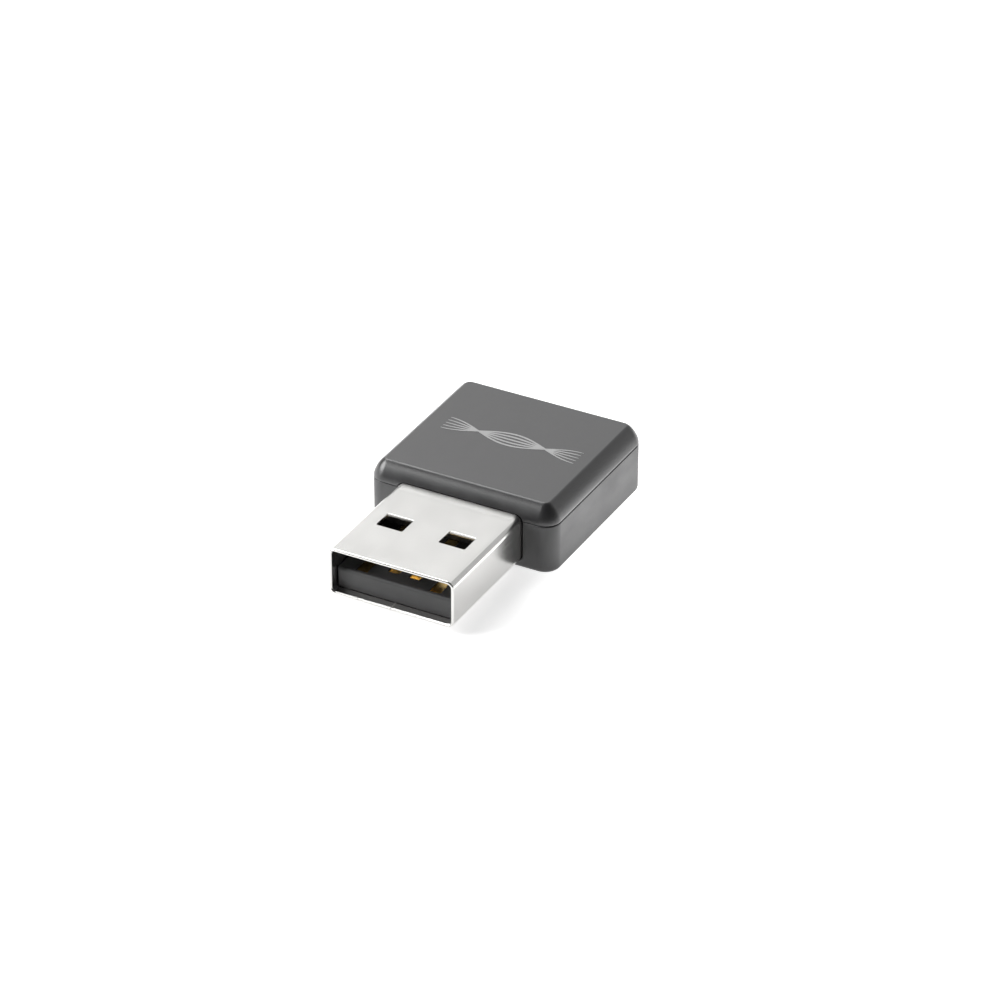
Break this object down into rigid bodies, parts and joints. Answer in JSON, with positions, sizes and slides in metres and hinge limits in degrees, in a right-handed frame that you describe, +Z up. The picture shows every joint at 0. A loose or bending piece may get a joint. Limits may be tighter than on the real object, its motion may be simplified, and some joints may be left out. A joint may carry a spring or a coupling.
{
  "type": "usb wifi adapter",
  "caption": "Short black USB wifi adapter with a rounded two-piece snap housing, a plated USB type A plug and a shielded radio board inside.",
  "frame": {"origin": "centre of the bounding box's base, on the surface that the adapter lies on", "axes": "+Z up, -Y out of the plug's mouth, +Y to the housing's rear, +X to the right when looking from the plug's side along +Y"},
  "size_m": [0.018, 0.0292, 0.0065],
  "materials": {
    "cover_black": "satin, finely textured",
    "plated_steel": "bright nickel plate over stamped sheet steel",
    "insulator_black": "matt moulding",
    "contact_gold": "gold flash over copper alloy",
    "board_green": "solder mask over fibreglass",
    "trace_copper": "bare copper foil",
    "shield_tin": "tin-plated steel",
    "chip_epoxy": "moulding compound",
    "capacitor_tan": "fired ceramic with tinned ends",
    "ceramic_white": "fired ceramic",
    "light_pipe_clear": "clear polycarbonate",
    "label_silver": "blank satin film label"
  },
  "bodies": {
    "root": {"top_cover": "cover_black", "bottom_cover": "cover_black", "rating_label": "label_silver", "light_pipe": "light_pipe_clear", "usb_shell": "plated_steel", "usb_insulator": "insulator_black", "contact_ground": "contact_gold", "contact_data_plus": "contact_gold", "contact_data_minus": "contact_gold", "contact_power": "contact_gold", "circuit_board": "board_green", "printed_antenna": "trace_copper", "radio_chip": "chip_epoxy", "shield_fence": "shield_tin", "shield_lid": "shield_tin", "crystal_tray": "ceramic_white", "crystal_lid": "shield_tin", "voltage_regulator": "chip_epoxy", "power_inductor": "chip_epoxy", "status_lamp": "ceramic_white", "status_lamp_lens": "light_pipe_clear", "radio_filter": "ceramic_white", "decoupling_capacitor_1": "capacitor_tan", "decoupling_capacitor_2": "capacitor_tan", "decoupling_capacitor_3": "capacitor_tan", "decoupling_capacitor_4": "capacitor_tan", "decoupling_capacitor_5": "capacitor_tan", "reference_resistor": "chip_epoxy", "crystal_capacitor_1": "capacitor_tan", "crystal_capacitor_2": "capacitor_tan", "bulk_capacitor": "capacitor_tan", "input_ferrite": "chip_epoxy", "lamp_resistor": "chip_epoxy", "matching_capacitor": "capacitor_tan", "matching_inductor": "ceramic_white"}
  },
  "joints": []
}
